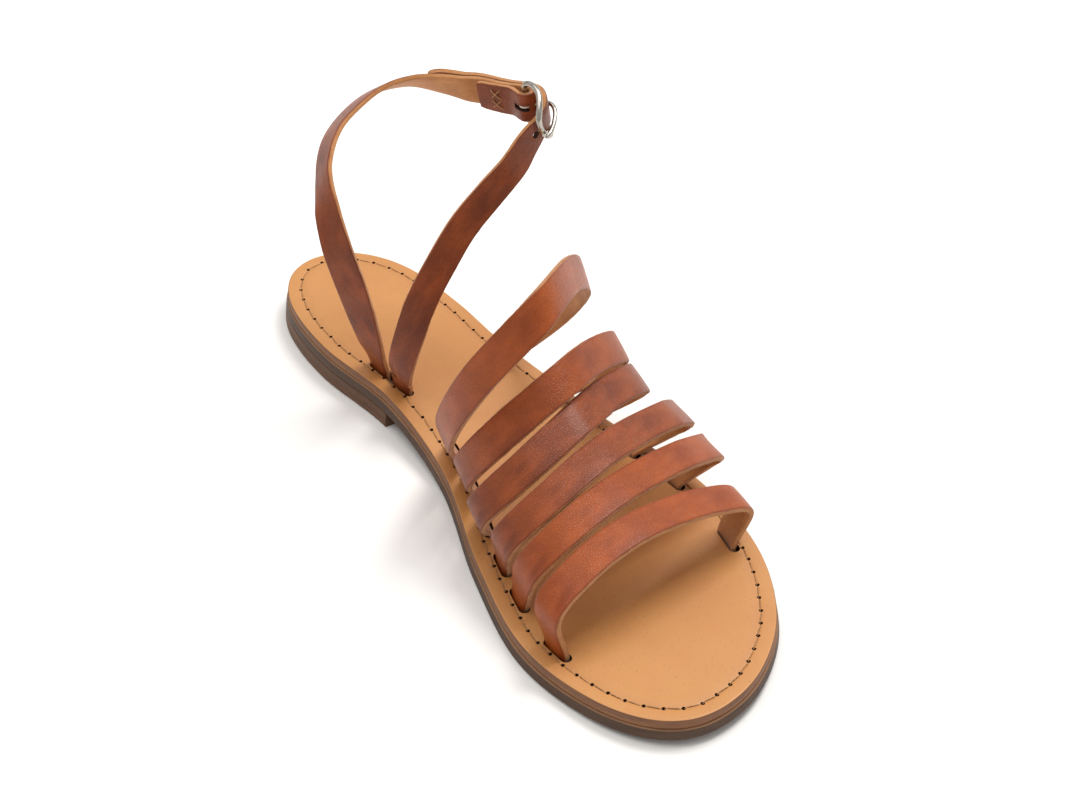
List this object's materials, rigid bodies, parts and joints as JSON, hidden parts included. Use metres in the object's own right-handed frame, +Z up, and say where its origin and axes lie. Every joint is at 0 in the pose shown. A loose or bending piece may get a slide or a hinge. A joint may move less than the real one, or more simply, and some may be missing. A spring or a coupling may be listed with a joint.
{
  "type": "flat sandal",
  "caption": "Flat leather sandal with crosswise fore straps, a buckled ankle strap and a stitched insole on a low stacked heel.",
  "frame": {"origin": "on the ground, under the middle of the sandal's bounding box", "axes": "+Z up, toe towards -Y, heel towards +Y, outer side of the foot towards +X"},
  "size_m": [0.0934, 0.2606, 0.1085],
  "materials": {
    "insole_leather": "matte",
    "sole_leather": "matte",
    "strap_leather": "satin",
    "buckle_metal": "polished"
  },
  "bodies": {
    "root": {"insole": "insole_leather", "outsole": "sole_leather", "heel": "sole_leather", "strap_1": "strap_leather", "strap_2": "strap_leather", "strap_3": "strap_leather", "strap_4": "strap_leather", "strap_5": "strap_leather", "strap_6": "strap_leather", "ankle_buckle_side": "strap_leather", "ankle_tip_side": "strap_leather", "buckle_frame": "buckle_metal", "buckle_prong": "buckle_metal"}
  },
  "joints": []
}
